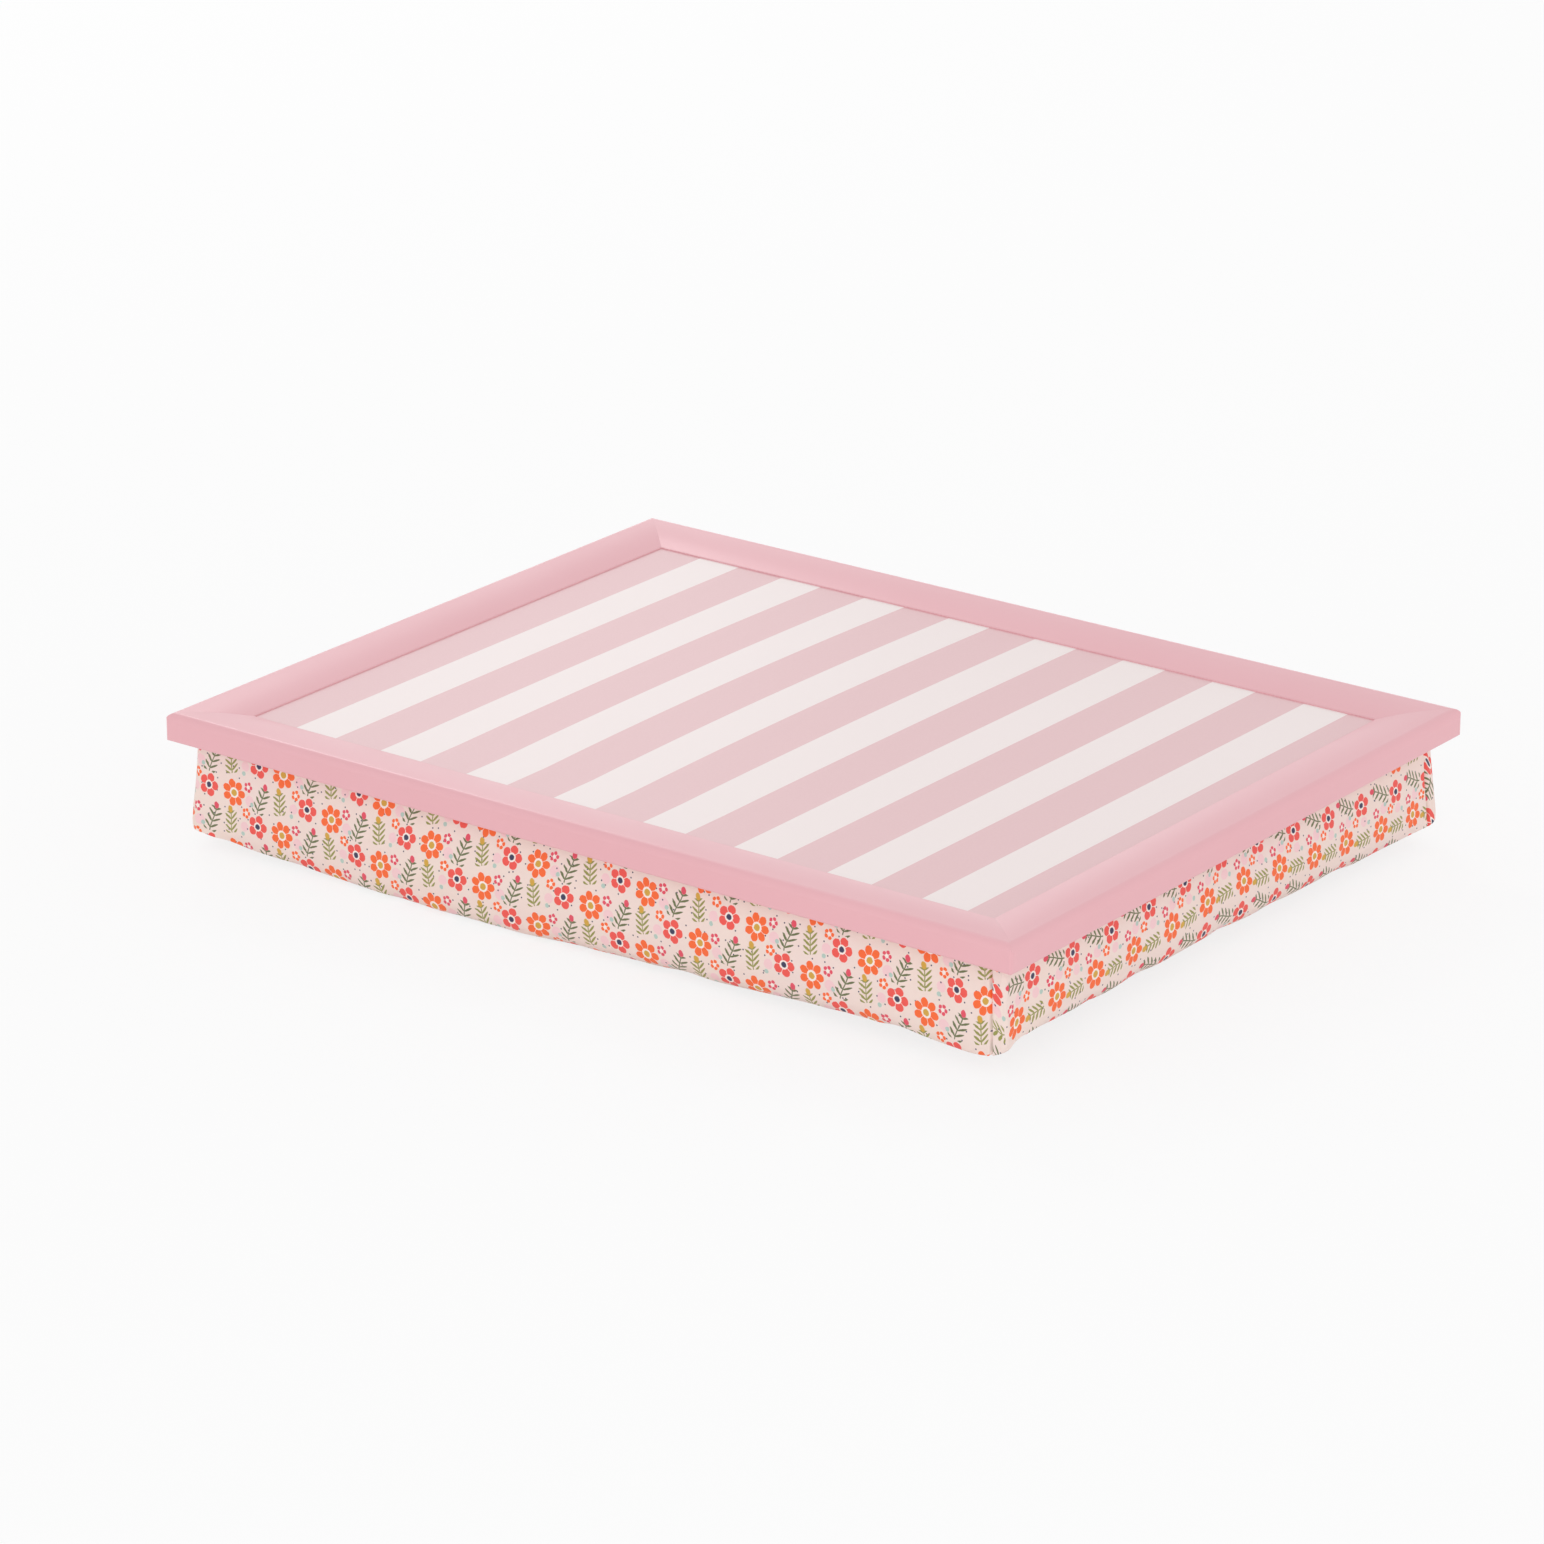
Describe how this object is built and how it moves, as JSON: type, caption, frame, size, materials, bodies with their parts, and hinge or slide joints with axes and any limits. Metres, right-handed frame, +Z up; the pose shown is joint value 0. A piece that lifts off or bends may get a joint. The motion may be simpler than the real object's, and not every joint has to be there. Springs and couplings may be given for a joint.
{
  "type": "lap tray with cushion",
  "caption": "Rectangular lap tray: a mitred, painted moulded frame round a striped board, on a bead-filled cushion in printed cotton.",
  "frame": {"origin": "centre of the overall box at its base, on the cushion's flat underside", "axes": "+X along the tray's long side, to the right seen from the front; +Y to the rear; +Z up"},
  "size_m": [0.44, 0.338, 0.0604],
  "materials": {
    "painted_wood": "satin pink paint",
    "striped_laminate": "satin laminate with pink and off-white stripes",
    "fibreboard": "raw sanded",
    "backing_laminate": "matt",
    "hardboard": "smooth pressed",
    "printed_cotton": "matt printed plain weave",
    "bag_cloth": "matt",
    "foam_beads": "matt",
    "steel": "bright zinc"
  },
  "bodies": {
    "root": {"front_rail": "painted_wood", "rear_rail": "painted_wood", "left_rail": "painted_wood", "right_rail": "painted_wood", "striped_sheet": "striped_laminate", "tray_board": "fibreboard", "backer_sheet": "backing_laminate", "base_board": "hardboard", "cushion_cover": "printed_cotton", "bead_bag": "bag_cloth", "bead_filling": "foam_beads", "base_screws": "steel", "corner_v_nails": "steel", "framers_points": "steel", "hem_staples": "steel"}
  },
  "joints": []
}
